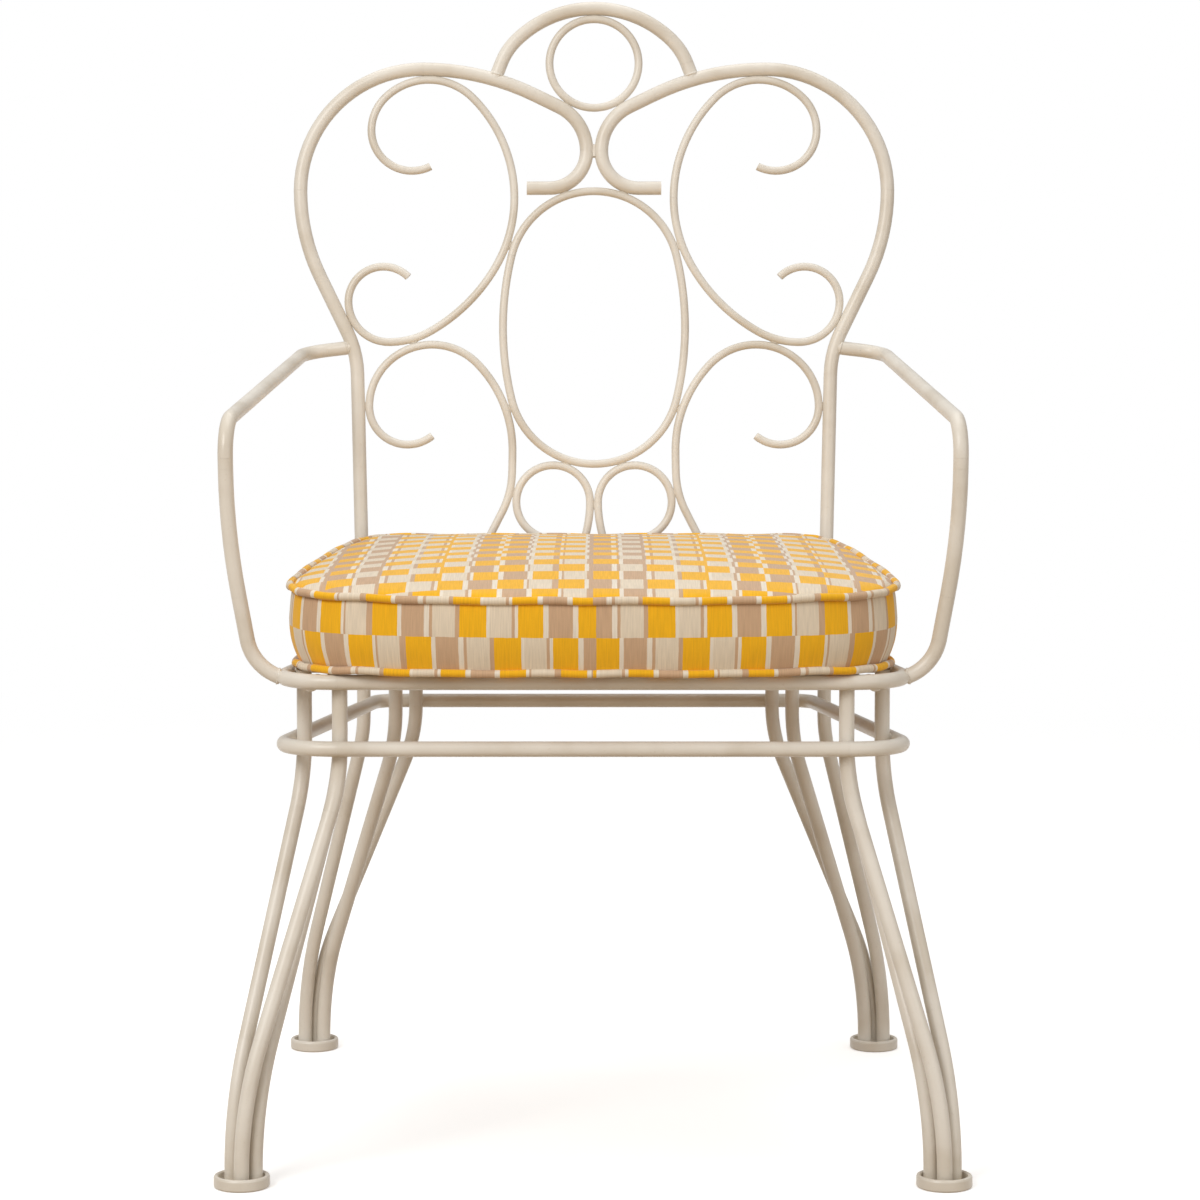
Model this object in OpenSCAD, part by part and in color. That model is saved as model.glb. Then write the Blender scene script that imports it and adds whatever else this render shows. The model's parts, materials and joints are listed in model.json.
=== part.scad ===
// Outdoor dining armchair of bent steel rod with a loose box cushion.
// Millimetres, +Z up, origin on the floor under the middle; the front faces -Y and right is +X.
// Back, arms and legs are mirrored; every rod keeps its own length, and ends are shaped to the rod they meet.

/* [Body] */
// Diameter of the main rod of the frame, back, arms and legs
rod_d = 12; // [11:0.5:13]
// Diameter of the thinner rod of the scrolls and rings
thin_d = 7; // [6:0.5:8]
// Height of the middle of the seat frame's rod
seat_z = 381; // [370:1:395]
// Height of the middle of the lower ring's rod at the front
ring_z = 329; // [326:1:340]
// How much lower the lower ring lies at its back
ring_drop = 7.6; // [0:0.2:12]

/* [Seat frame] */
// Y of the front rail
front_y = -187; // [-195:1:-180]
// Y of the back rail
back_y = 204.5; // [200:0.5:210]
// X of the middle of each front bend
front_bend_x = 198; // [190:1:205]
// Radius of the front bends
front_bend_r = 45; // [35:1:55]
// Radius of the back bends
back_bend_r = 20; // [16:1:26]
// Diameter of the two bars along the seat
bar_d = 10; // [8:0.5:11]
// X of a seat bar at the front rail
bar_front_x = 218; // [214:1:222]
// X of a seat bar at the back rail
bar_back_x = 177; // [174:1:180]
// Diameter of the three slats across the seat
slat_d = 8; // [6:0.5:9]
// Distance between two slats
slat_gap = 100; // [85:1:110]

/* [Back] */
// Angle by which the back leans backwards
lean = 7; // [5:0.5:7]
// Height of the crown hooks up the leaning back
hook_v = 428.3; // [420:0.1:436]
// Bend radius under each crown hook
hook_r = 33; // [30:1:36]
// Bend radius at the top of each crown hook
hook_top_r = 44; // [41:1:47]
// Bend radius of the back's shoulder
shoulder_r = 108; // [104:1:112]
// Middle radius of the crown ring
crown_ring_r = 39.5; // [37:0.5:42]
// Half width of the centre oval
oval_w = 80.5; // [78:0.5:82]
// Half height of the centre oval
oval_h = 121; // [118:0.5:124]
// Bend radius of the oval's two ends
oval_r = 75; // [72:0.5:77]
// Middle radius of the two base rings
base_ring_r = 31.5; // [30:0.5:33]

/* [Arms and legs] */
// Height of an arm's start on its upright, up the leaning back
arm_v = 253.9; // [245:0.1:262]
// X of the outermost part of an arm
arm_x = 285; // [280:1:292]
// Height of the front bend of an arm
arm_z = 581; // [570:1:592]
// X of the middle of a front foot
front_foot_x = 268.7; // [262:0.1:275]
// Y of the middle of both front feet
front_foot_y = -247.5; // [-253:0.5:-242]
// X of the middle of a back foot
back_foot_x = 253.2; // [248:0.1:258]
// Y of the middle of both back feet
back_foot_y = 247.5; // [242:0.5:253]
// Height where the legs turn upright above a foot
ankle_z = 62; // [58:1:72]
// Outer diameter of a foot cup
cup_d = 43; // [42:0.5:46]
// Height of a foot cup
cup_h = 9.5; // [8:0.5:12]
// Thickness of a foot cup's wall
cup_wall = 3.5; // [2.5:0.25:4]
// Thickness of a foot cup's floor
cup_floor = 3; // [2:0.25:4]

/* [Cushion] */
// Y of the middle of the cushion's front edge
cushion_front = -227; // [-232:1:-220]
// Y of the cushion's back edge
cushion_back = 189; // [184:1:190]
// Half width of the cushion at its widest
cushion_w = 242; // [236:1:246]
// Height of the side band between the two pipings
band_h = 55; // [48:1:62]
// How much higher the band gets at the back
band_rise = 12; // [0:1:18]
// Height of the crown over the top piping
crown_h = 26; // [18:1:32]

/* [Hidden] */
$fn = 40;

cream = "#E9E0CC";
yellow = "#F2B90F";
// Two lengths of one rod stop this far short of where they join, and a slightly thinner core bridges the hairline
join_gap = 0.03;
core_less = 0.8;
both = (rod_d + thin_d) / 2;
// A shaped end stops this far short of the middle of the rod it meets
cope_short = 1.5;

// A pen is [x, y, heading]; a step is ["line", length] or ["arc", radius, angle], a positive angle turns left
function after(pen, s) = s[0] == "line"
    ? [pen[0] + s[1] * cos(pen[2]), pen[1] + s[1] * sin(pen[2]), pen[2]]
    : let (k = sign(s[2]), h = pen[2] + s[2])
      [pen[0] + k * s[1] * (sin(h) - sin(pen[2])), pen[1] - k * s[1] * (cos(h) - cos(pen[2])), h];
function pen_after(pen, steps, n) = n == 0 ? pen : after(pen_after(pen, steps, n - 1), steps[n - 1]);
// The pen's start that brings it to `spot` after n steps
function start_for(spot, heading, steps, n) = let (p = pen_after([0, 0, heading], steps, n))
    [spot[0] - p[0], spot[1] - p[1], heading];
function unit(v) = v / norm(v);

// The leaning back's plane: x across, v up along the lean from the seat frame's height
back_plane_y = back_y - both;
function on_back(x, v) = [x, back_plane_y + v * sin(lean), seat_z + v * cos(lean)];

// Upright: from the crown hook over the shoulder and down the flank, then straight to the seat
hook_x = rod_d / 2 + 0.5;
hook_tail = 20;
upright_steps = [["line", hook_tail], ["arc", hook_r, -90], ["arc", hook_top_r, -64], ["line", 24],
    ["arc", 226, -26], ["arc", shoulder_r, -90], ["arc", 175, -26], ["line", 55], ["arc", 90, 24.5]];
upright_start = [hook_x + hook_r + hook_tail, hook_v - hook_r, 180];
top_pen = pen_after(upright_start, upright_steps, 4);
top_bend = [top_pen[0] + 226 * sin(26), top_pen[1] - 226 * cos(26)];
flank_pen = pen_after(upright_start, upright_steps, 8);
flank_bend = [flank_pen[0] + 90 * cos(26), flank_pen[1] - 90 * sin(26)];
low_pen = pen_after(upright_start, upright_steps, 9);
slant = -90 - low_pen[2];
function upright_at(v) = low_pen[0] - (low_pen[1] - v) * tan(slant);
plane_end_v = 60;
bend_v = 15 / cos(lean);
bend_point = on_back(upright_at(bend_v), bend_v);
upright_x = bend_point[0];
upright_y = bend_point[1];

// Crown, oval and base rings, each one resting on the piece before it
crown_ring_v = hook_v + sqrt(pow(hook_top_r + crown_ring_r + both, 2) - pow(hook_x + hook_top_r, 2));
arch_v = crown_ring_v + crown_ring_r + both;
arch_steps = [["arc", 98, -44], ["arc", 60, -25]];
arch_pen = pen_after([0, arch_v, 0], arch_steps, 2);
arch_way = [cos(arch_pen[2]), sin(arch_pen[2])];
arch_off = [arch_pen[0] - top_bend[0], arch_pen[1] - top_bend[1]];
arch_foot = -arch_off * arch_way - cope_short
    - sqrt(pow(arch_off * arch_way, 2) - arch_off * arch_off + 226 * 226);
oval_v = hook_v - sqrt(pow(oval_r + hook_r + both, 2) - pow(hook_x + hook_r, 2)) - oval_h + oval_r;
oval_rise = oval_h - oval_r;
oval_side_r = (oval_w * oval_w + oval_rise * oval_rise - oval_r * oval_r) / (2 * (oval_w - oval_r));
oval_turn = atan(oval_rise / (oval_side_r - oval_w));
base_ring_x = base_ring_r + thin_d / 2;
base_ring_v = oval_v - oval_rise - sqrt(pow(oval_r + base_ring_r + thin_d, 2) - base_ring_x * base_ring_x);

// Scrolls, held where each one comes closest to the middle
upper_steps = [["arc", 36, 117], ["arc", 41, 45], ["arc", 55, 90], ["arc", 126, 45], ["arc", 122, 30],
    ["arc", 156, 30], ["arc", 74.5, 30], ["arc", 36, 90], ["arc", 31, 135]];
upper_start = start_for([70.5, oval_v + 115], -27, upper_steps, 4);
lower_steps = [["arc", 34, 130], ["arc", 54, 45], ["arc", 56, 90], ["arc", 108.5, 45], ["arc", 600, 4],
    ["arc", 60, 39], ["arc", 80, -43]];
lower_start = start_for([72, oval_v - 108.4], -40, lower_steps, 4);
lower_pen = pen_after(lower_start, lower_steps, 7);

// Seat frame: one rod round four bends, its back bends against the uprights
back_bend_y = back_y - back_bend_r;
back_bend_x = upright_x - sqrt(pow(back_bend_r + rod_d, 2) - pow(upright_y - back_bend_y, 2));
front_bend_y = front_y + front_bend_r;
side_run = [back_bend_x - front_bend_x, back_bend_y - front_bend_y];
side_way = atan2(side_run[1], side_run[0]) + asin((front_bend_r - back_bend_r) / norm(side_run));
side_len = sqrt(side_run * side_run - pow(front_bend_r - back_bend_r, 2));
// X of the middle of the right side rod at a given y
function side_x(y) = front_bend_x + (front_bend_r + (y - front_bend_y) * cos(side_way)) / sin(side_way);
ring_tilt = asin(ring_drop / (back_y - front_y));

// Seat bars under the slats; the slats' tops are level with the frame's
bar_z = seat_z + rod_d / 2 - slat_d - bar_d / 2;
bar_turn = atan((bar_front_x - bar_back_x) / (back_y - front_y));
function bar_x(y) = bar_front_x - (y - front_y) * tan(bar_turn);
function beside_bar(y) = bar_x(y) - (rod_d + bar_d) / 2 / cos(bar_turn);

// Legs: [x, y] at the seat and [x, y] in the foot cup; three rods stand in each cup
leg_top_z = seat_z + 3;
front_knee_z = ring_z - 27;
back_knee_z = ring_z - ring_drop - 27;
side_leg_y = front_bend_y + 18;
side_leg = [[side_x(side_leg_y) - rod_d / sin(side_way), side_leg_y], [front_foot_x + 7.6, front_foot_y + 2.8]];
front_rail_leg = [[197, front_y + rod_d], [front_foot_x - 0.4, front_foot_y - 6.7]];
front_inner_leg = [[beside_bar(-125), -125], [front_foot_x - 9.8, front_foot_y + 3.5]];
upright_foot = [back_foot_x + 8.3, back_foot_y - 3];
back_inner_leg = [[beside_bar(145), 145], [back_foot_x - 8.7, back_foot_y - 4.5]];
back_rail_leg = [[157, back_y - rod_d], [back_foot_x, back_foot_y + 6]];

// The ankle's bend starts just above the foot cup
function ankle_r(knee, ankle) = (ankle_z - cup_h) / tan(acos(unit(knee - ankle)[2]) / 2);

// Arm: from the upright, round to the front, down and in to the seat frame's front bend
arm_root = on_back(flank_bend[0] - sqrt(90 * 90 - pow(arm_v - flank_bend[1], 2)) + cope_short, arm_v);
arm_points = [arm_root, [256, arm_root[1] + 2, arm_root[2] - 5], [arm_x, -168, arm_z], [arm_x, -160, arm_z - 86],
    [arm_x - 18, front_bend_y - 8, seat_z + 8.7],
    [front_bend_x + front_bend_r + cope_short, front_bend_y - 8, seat_z]];
arm_bends = [0, 22, 28, 600, 38, 0];

module frame_of(o, x, y, z) {
    multmatrix([[x[0], y[0], z[0], o[0]], [x[1], y[1], z[1], o[1]], [x[2], y[2], z[2], o[2]], [0, 0, 0, 1]])
        children();
}

// Turns +Z to the way z and moves it to o
module along(o, z) {
    x = unit(cross(abs(z[2]) > 0.9 ? [1, 0, 0] : [0, 0, 1], z));
    frame_of(o, x, cross(z, x), z) children();
}

// Core across a join of two lengths, along +Y
module core(d) { rotate([-90, 0, 0]) cylinder(h = 2, d = d - core_less, center = true); }

// A rod bent in one plane along its steps, starting along +Y
module flat_rod(d, steps, loop = false, i = 0) {
    if (i < len(steps)) {
        s = steps[i];
        a = i > 0 || loop ? join_gap : 0;
        b = i < len(steps) - 1 || loop ? join_gap : 0;
        if (a > 0) core(d);
        if (s[0] == "line") {
            translate([0, a, 0]) rotate([-90, 0, 0]) cylinder(h = s[1] - a - b, d = d);
            translate([0, s[1], 0]) flat_rod(d, steps, loop, i + 1);
        } else {
            g = 180 / PI / s[1];
            k = sign(s[2]);
            translate([-k * s[1], 0, 0]) {
                rotate([0, 0, k > 0 ? a * g : 180 + s[2] + b * g])
                    rotate_extrude(angle = abs(s[2]) - (a + b) * g) translate([s[1], 0]) circle(d = d);
                rotate([0, 0, s[2]]) translate([k * s[1], 0, 0]) flat_rod(d, steps, loop, i + 1);
            }
        }
    }
}

// Sets the pen down in the current plane
module from(pen) { translate([pen[0], pen[1], 0]) rotate([0, 0, pen[2] - 90]) children(); }

// A rod through corner points, each corner rounded with its own bend radius
module bent_rod(d, points, bends) {
    n = len(points);
    ways = [for (i = [0 : n - 2]) unit(points[i + 1] - points[i])];
    turns = [for (i = [0 : n - 1]) i == 0 || i == n - 1 ? 0 : acos(min(1, ways[i - 1] * ways[i]))];
    trims = [for (i = [0 : n - 1]) bends[i] * tan(turns[i] / 2)];
    for (i = [0 : n - 2]) {
        a = points[i] + (trims[i] + (i > 0 ? join_gap : 0)) * ways[i];
        b = points[i + 1] - (trims[i + 1] + (i < n - 2 ? join_gap : 0)) * ways[i];
        along(a, ways[i]) cylinder(h = norm(b - a), d = d);
        if (i > 0) {
            axis = unit(cross(ways[i - 1], ways[i]));
            inward = cross(axis, ways[i - 1]);
            g = join_gap * 180 / PI / bends[i];
            frame_of(points[i] - trims[i] * ways[i - 1] + bends[i] * inward, -inward, ways[i - 1], axis) {
                rotate([0, 0, g]) rotate_extrude(angle = turns[i] - 2 * g) translate([bends[i], 0]) circle(d = d);
                translate([bends[i], 0, 0]) core(d);
                rotate([0, 0, turns[i]]) translate([bends[i], 0, 0]) core(d);
            }
        }
    }
}

module in_back() { translate([0, back_plane_y, seat_z]) rotate([90 - lean, 0, 0]) children(); }
module left() { mirror([1, 0, 0]) children(); }
// Straight cutter across a bend of the main rod at one angle, to shape the end of a piece that meets it there
module cope(r, angle, room) {
    rotate([0, 0, angle]) translate([r, 20, 0]) rotate([90, 0, 0]) cylinder(h = 40, d = rod_d + room);
}
module ring(r, d) { rotate_extrude() translate([r, 0]) circle(d = d); }

module back_upright() {
    knee = [upright_x, upright_y, back_knee_z];
    foot = [upright_foot[0], upright_foot[1], cup_floor];
    ankle = [foot[0], foot[1], ankle_z];
    lower = [on_back(upright_at(plane_end_v), plane_end_v), bend_point, knee, ankle, foot];
    way = unit(lower[1] - lower[0]);
    color(cream) {
        in_back() from(upright_start) flat_rod(rod_d, concat(upright_steps,
            [["line", (low_pen[1] - plane_end_v) / cos(slant) - join_gap]]));
        along(lower[0], way) cylinder(h = 2, d = rod_d - core_less, center = true);
        bent_rod(rod_d, [lower[0] + join_gap * way, bend_point, knee, ankle, foot],
            [0, 150, 110, ankle_r(knee, ankle), 0]);
    }
}
module back_upright_right() { back_upright(); }
module back_upright_left() { left() back_upright(); }

module hook_weld() {
    color(cream) in_back() translate([0, hook_v, 0]) difference() {
        cube([5, 10, 6], center = true);
        for (side = [-1, 1]) translate([side * hook_x, 10, 0]) rotate([90, 0, 0]) cylinder(h = 20, d = rod_d);
    }
}

module crown_arch() {
    color(cream) in_back() difference() {
        from([-arch_pen[0] - arch_foot * arch_way[0], arch_pen[1] + arch_foot * arch_way[1], -arch_pen[2]])
            flat_rod(rod_d, [["line", arch_foot], arch_steps[1], ["arc", 98, -88], arch_steps[1], ["line", arch_foot]]);
        for (side = [-1, 1]) translate([side * top_bend[0], top_bend[1], 0]) ring(226, rod_d);
    }
}

module crown_ring() { color(cream) in_back() translate([0, crown_ring_v, 0]) ring(crown_ring_r, thin_d); }

module centre_oval() {
    start = [-oval_r * cos(oval_turn), oval_v + oval_rise + oval_r * sin(oval_turn), 90 - oval_turn];
    color(cream) in_back() from(start) flat_rod(thin_d, [["arc", oval_r, 2 * oval_turn - 180],
        ["arc", oval_side_r, -2 * oval_turn], ["arc", oval_r, 2 * oval_turn - 180],
        ["arc", oval_side_r, -2 * oval_turn]], loop = true);
}

module upper_scroll() { color(cream) in_back() from(upper_start) flat_rod(thin_d, upper_steps); }
module upper_scroll_right() { upper_scroll(); }
module upper_scroll_left() { left() upper_scroll(); }

module lower_scroll() {
    color(cream) in_back() from(lower_start)
        flat_rod(thin_d, concat(lower_steps, [["line", lower_pen[1] + 4]]));
}
module lower_scroll_right() { lower_scroll(); }
module lower_scroll_left() { left() lower_scroll(); }

module base_ring() { color(cream) in_back() translate([base_ring_x, base_ring_v, 0]) ring(base_ring_r, thin_d); }
module base_ring_right() { base_ring(); }
module base_ring_left() { left() base_ring(); }

module arm() {
    color(cream) difference() {
        bent_rod(rod_d, arm_points, arm_bends);
        in_back() translate([flank_bend[0], flank_bend[1], 0])
            cope(90, 180 - asin((arm_v - flank_bend[1]) / 90), 0.4);
        translate([front_bend_x, front_bend_y, seat_z]) cope(front_bend_r, -asin(8 / front_bend_r), 0.2);
    }
}
module arm_right() { arm(); }
module arm_left() { left() arm(); }

// The closed plan of the seat frame and lower ring; `flat` stretches it front to back before it is tilted
module loop_rod(flat) {
    run = [side_run[0], side_run[1] / flat];
    way = atan2(run[1], run[0]) + asin((front_bend_r - back_bend_r) / norm(run));
    side = ["line", sqrt(run * run - pow(front_bend_r - back_bend_r, 2))];
    from([-front_bend_x, 0, 0]) flat_rod(rod_d, [["line", 2 * front_bend_x], ["arc", front_bend_r, way], side,
        ["arc", back_bend_r, 180 - way], ["line", 2 * back_bend_x], ["arc", back_bend_r, 180 - way], side,
        ["arc", front_bend_r, way]], loop = true);
}

module seat_frame() { color(cream) translate([0, front_y, seat_z]) loop_rod(1); }
module lower_ring() {
    color(cream) translate([0, front_y, ring_z]) rotate([-ring_tilt, 0, 0]) loop_rod(cos(ring_tilt));
}

module seat_bar() {
    start = front_bend_y - sqrt(pow(front_bend_r, 2) - pow(bar_front_x - front_bend_x, 2));
    color(cream) difference() {
        along([bar_x(start), start, bar_z], [-sin(bar_turn), cos(bar_turn), 0])
            cylinder(h = (back_y - start) / cos(bar_turn), d = bar_d);
        translate([front_bend_x, front_bend_y, seat_z])
            cope(front_bend_r, -acos((bar_front_x - front_bend_x) / front_bend_r), 0.6);
        translate([back_bend_x, back_bend_y, seat_z])
            cope(back_bend_r, acos(max(0, bar_back_x - back_bend_x) / back_bend_r), 1);
    }
}
module seat_bar_right() { seat_bar(); }
module seat_bar_left() { left() seat_bar(); }

module seat_slat(y) {
    color(cream) difference() {
        translate([-side_x(y), y, seat_z + (rod_d - slat_d) / 2]) rotate([0, 90, 0])
            cylinder(h = 2 * side_x(y), d = slat_d);
        for (side = [0, 1]) mirror([side, 0, 0])
            along([side_x(y - 40), y - 40, seat_z], [cos(side_way), sin(side_way), 0]) cylinder(h = 80, d = rod_d);
    }
}
module seat_slat_front() { seat_slat(-slat_gap); }
module seat_slat_middle() { seat_slat(0); }
module seat_slat_back() { seat_slat(slat_gap); }

module leg(ends, knee_z, knee_r) {
    knee = [ends[0][0], ends[0][1], knee_z];
    ankle = [ends[1][0], ends[1][1], ankle_z];
    color(cream) bent_rod(rod_d, [[knee[0], knee[1], leg_top_z], knee, ankle, [ankle[0], ankle[1], cup_floor]],
        [0, knee_r, ankle_r(knee, ankle), 0]);
}
module front_leg_side_right() { leg(side_leg, front_knee_z, 120); }
module front_leg_side_left() { left() front_leg_side_right(); }
module front_leg_rail_right() { leg(front_rail_leg, front_knee_z, 120); }
module front_leg_rail_left() { left() front_leg_rail_right(); }
module front_leg_inner_right() { leg(front_inner_leg, front_knee_z, 120); }
module front_leg_inner_left() { left() front_leg_inner_right(); }
module back_leg_inner_right() { leg(back_inner_leg, back_knee_z, 110); }
module back_leg_inner_left() { left() back_leg_inner_right(); }
module back_leg_rail_right() { leg(back_rail_leg, back_knee_z, 110); }
module back_leg_rail_left() { left() back_leg_rail_right(); }

module foot_cup(x, y) {
    r = cup_d / 2;
    color(cream) translate([x, y, 0]) rotate_extrude() polygon([[0, 0], [r - 1.4, 0], [r - 0.5, 0.4], [r, 1.4],
        [r, cup_h - 1.8], [r - 0.6, cup_h - 0.5], [r - 1.8, cup_h], [r - cup_wall + 1, cup_h],
        [r - cup_wall, cup_h - 1], [r - cup_wall, cup_floor], [0, cup_floor]]);
}
module foot_cup_front_right() { foot_cup(front_foot_x, front_foot_y); }
module foot_cup_front_left() { foot_cup(-front_foot_x, front_foot_y); }
module foot_cup_back_right() { foot_cup(back_foot_x, back_foot_y); }
module foot_cup_back_left() { foot_cup(-back_foot_x, back_foot_y); }

// Cushion plan: corner points of the right half from the front middle to the back middle, then a smooth curve
half_plan = [[0, cushion_front], [0.3 * cushion_w, cushion_front + 2.5], [0.6 * cushion_w, cushion_front + 12],
    [0.81 * cushion_w, cushion_front + 27], [0.935 * cushion_w, cushion_front + 51],
    [0.99 * cushion_w, cushion_front + 82], [cushion_w, cushion_front + 115],
    [0.975 * cushion_w, cushion_front + 190], [0.925 * cushion_w, cushion_back - 118],
    [0.868 * cushion_w, cushion_back - 50], [0.825 * cushion_w, cushion_back - 20],
    [0.73 * cushion_w, cushion_back - 3], [0.5 * cushion_w, cushion_back], [0.25 * cushion_w, cushion_back]];
plan = concat(half_plan, [[0, cushion_back]],
    [for (i = [len(half_plan) - 1 : -1 : 1]) [-half_plan[i][0], half_plan[i][1]]]);
function blend(a, b, c, d, t) = 0.5 * (2 * b + (c - a) * t + (2 * a - 5 * b + 4 * c - d) * t * t
    + (3 * b - a - 3 * c + d) * t * t * t);
outline = [for (i = [0 : len(plan) - 1]) for (t = [0, 0.5])
    let (n = len(plan)) blend(plan[(i + n - 1) % n], plan[i], plan[(i + 1) % n], plan[(i + 2) % n], t)];
middle = [0, (cushion_front + cushion_back) / 2];
base_z = seat_z + rod_d / 2 + 0.3;
top_z = base_z + 3.7 + band_h;
// Rows from the middle of the underside to the middle of the top: [how far drawn in, height, share of the rise]
rows = [[120, base_z, 0], [50, base_z, 0], [9, base_z, 0], [3.6, base_z + 0.9, 0], [0.8, base_z + 2, 0],
    [0, base_z + 3.7, 0], [1, base_z + 6, 0], [3.6, base_z + 7.2, 0], [2.6, base_z + 0.35 * band_h, 0.3],
    [2.2, base_z + 0.6 * band_h, 0.55], [3.8, top_z - 3.5, 1], [1, top_z - 2.3, 1], [0, top_z, 1],
    [1, top_z + 2.3, 1], [3.8, top_z + 3.6, 1], [9, top_z + 0.32 * crown_h, 1], [20, top_z + 0.58 * crown_h, 1],
    [42, top_z + 0.82 * crown_h, 1], [80, top_z + 0.95 * crown_h, 1], [130, top_z + crown_h, 1]];
function row_point(p, r) = let (q = middle + (p - middle) * (1 - r[0] / 225))
    [q[0], q[1], r[1] + r[2] * band_rise * (q[1] - cushion_front) / (cushion_back - cushion_front)];
module cushion() {
    n = len(outline);
    m = len(rows);
    points = concat([for (r = rows) for (p = outline) row_point(p, r)],
        [[middle[0], middle[1], base_z], [middle[0], middle[1], top_z + crown_h + band_rise / 2]]);
    sides = [for (j = [0 : m - 2]) for (i = [0 : n - 1]) for (half = [0, 1])
        let (a = j * n + i, b = j * n + (i + 1) % n) half == 0 ? [a, b + n, b] : [a, a + n, b + n]];
    under = [for (i = [0 : n - 1]) [m * n, i, (i + 1) % n]];
    over = [for (i = [0 : n - 1]) [m * n + 1, (m - 1) * n + (i + 1) % n, (m - 1) * n + i]];
    color(yellow) polyhedron(points, concat(sides, under, over));
}

back_upright_left();
back_upright_right();
hook_weld();
crown_arch();
crown_ring();
centre_oval();
upper_scroll_left();
upper_scroll_right();
lower_scroll_left();
lower_scroll_right();
base_ring_left();
base_ring_right();
arm_left();
arm_right();
seat_frame();
lower_ring();
seat_bar_left();
seat_bar_right();
seat_slat_front();
seat_slat_middle();
seat_slat_back();
front_leg_side_left();
front_leg_side_right();
front_leg_rail_left();
front_leg_rail_right();
front_leg_inner_left();
front_leg_inner_right();
back_leg_inner_left();
back_leg_inner_right();
back_leg_rail_left();
back_leg_rail_right();
foot_cup_front_left();
foot_cup_front_right();
foot_cup_back_left();
foot_cup_back_right();
cushion();
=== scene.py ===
"""Outdoor dining armchair: painted bent steel rod with a loose, piped box cushion in a woven check."""

import logging
import math
from dataclasses import dataclass, field
from enum import Enum

import bmesh
import bpy
import numpy as np
from mathutils import Matrix, Vector
from mathutils.bvhtree import BVHTree
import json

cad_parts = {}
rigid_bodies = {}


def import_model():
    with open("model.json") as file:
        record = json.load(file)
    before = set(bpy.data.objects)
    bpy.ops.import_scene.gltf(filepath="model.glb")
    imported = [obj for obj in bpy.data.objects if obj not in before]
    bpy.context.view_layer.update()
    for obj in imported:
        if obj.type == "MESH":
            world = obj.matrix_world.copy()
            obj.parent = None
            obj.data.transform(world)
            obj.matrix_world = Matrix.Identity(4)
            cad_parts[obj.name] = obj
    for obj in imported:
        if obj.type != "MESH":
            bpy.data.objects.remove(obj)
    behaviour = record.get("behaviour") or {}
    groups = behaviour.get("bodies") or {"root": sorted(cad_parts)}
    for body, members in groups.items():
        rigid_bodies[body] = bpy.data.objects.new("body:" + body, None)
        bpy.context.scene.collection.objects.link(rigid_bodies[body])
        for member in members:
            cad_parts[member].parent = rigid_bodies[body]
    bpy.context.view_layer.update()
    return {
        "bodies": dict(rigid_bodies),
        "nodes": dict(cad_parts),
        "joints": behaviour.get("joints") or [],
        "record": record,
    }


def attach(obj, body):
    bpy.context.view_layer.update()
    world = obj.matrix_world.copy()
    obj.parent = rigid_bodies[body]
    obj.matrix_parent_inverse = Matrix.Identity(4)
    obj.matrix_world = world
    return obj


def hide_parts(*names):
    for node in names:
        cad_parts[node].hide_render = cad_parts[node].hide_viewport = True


LOG = logging.getLogger("garden_armchair")
MM = 0.001
# Width of one band of the wave texture at a scale of 1, in metres
WAVE_BAND = 0.314


class Band(Enum):
    """The two piped edges of the box cushion."""

    LOWER = "lower"
    UPPER = "upper"


class Weld(Enum):
    """How two rods are welded."""

    CREASE = "crease"
    COLLAR = "collar"


def linear(colour: str) -> tuple[float, float, float, float]:
    """Turns an sRGB hex colour into linear light.

    Args:
        colour: six hex digits with a leading hash.

    Returns:
        Red, green, blue and an alpha of 1.
    """
    parts = [int(colour[i : i + 2], 16) / 255 for i in (1, 3, 5)]
    light = [c / 12.92 if c <= 0.04045 else ((c + 0.055) / 1.055) ** 2.4 for c in parts]
    return (light[0], light[1], light[2], 1.0)


def add_node(
    tree: bpy.types.NodeTree,
    kind: str,
    settings: dict[str, object] | None = None,
    **inputs: object,
) -> bpy.types.Node:
    """Adds one shader node with its settings, values and links.

    Args:
        tree: the node tree of a material or world.
        kind: Blender's name for the node type.
        settings: properties of the node itself.
        inputs: socket names, with underscores for spaces or "in" and a number for an index, to a value or a
            socket to link from.

    Returns:
        The new node.
    """
    node = tree.nodes.new(kind)
    for name, value in (settings or {}).items():
        setattr(node, name, value)
    for name, value in inputs.items():
        socket = node.inputs[int(name[2:])] if name[2:].isdigit() else node.inputs[name.replace("_", " ")]
        if isinstance(value, bpy.types.NodeSocket):
            tree.links.new(value, socket)
        else:
            socket.default_value = value
    return node


def new_tree(name: str) -> tuple[bpy.types.Material, bpy.types.NodeTree]:
    """Makes an empty node material.

    Args:
        name: what the real material is.

    Returns:
        The material and its cleared node tree.
    """
    material = bpy.data.materials.new(name)
    material.use_nodes = True
    material.node_tree.nodes.clear()
    return material, material.node_tree


def placed(name: str, data: bpy.types.ID) -> bpy.types.Object:
    """Adds an object to the scene, at the origin.

    Args:
        name: its name.
        data: its mesh, lamp or camera.

    Returns:
        The object.
    """
    made = bpy.data.objects.new(name, data)
    bpy.context.scene.collection.objects.link(made)
    return made


def mesh_of(name: str, shape: bmesh.types.BMesh) -> bpy.types.Mesh:
    """Turns a finished shape into a mesh and frees it.

    Args:
        name: the mesh's name.
        shape: the shape.

    Returns:
        The mesh.
    """
    mesh = bpy.data.meshes.new(name)
    shape.to_mesh(mesh)
    shape.free()
    return mesh


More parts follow.
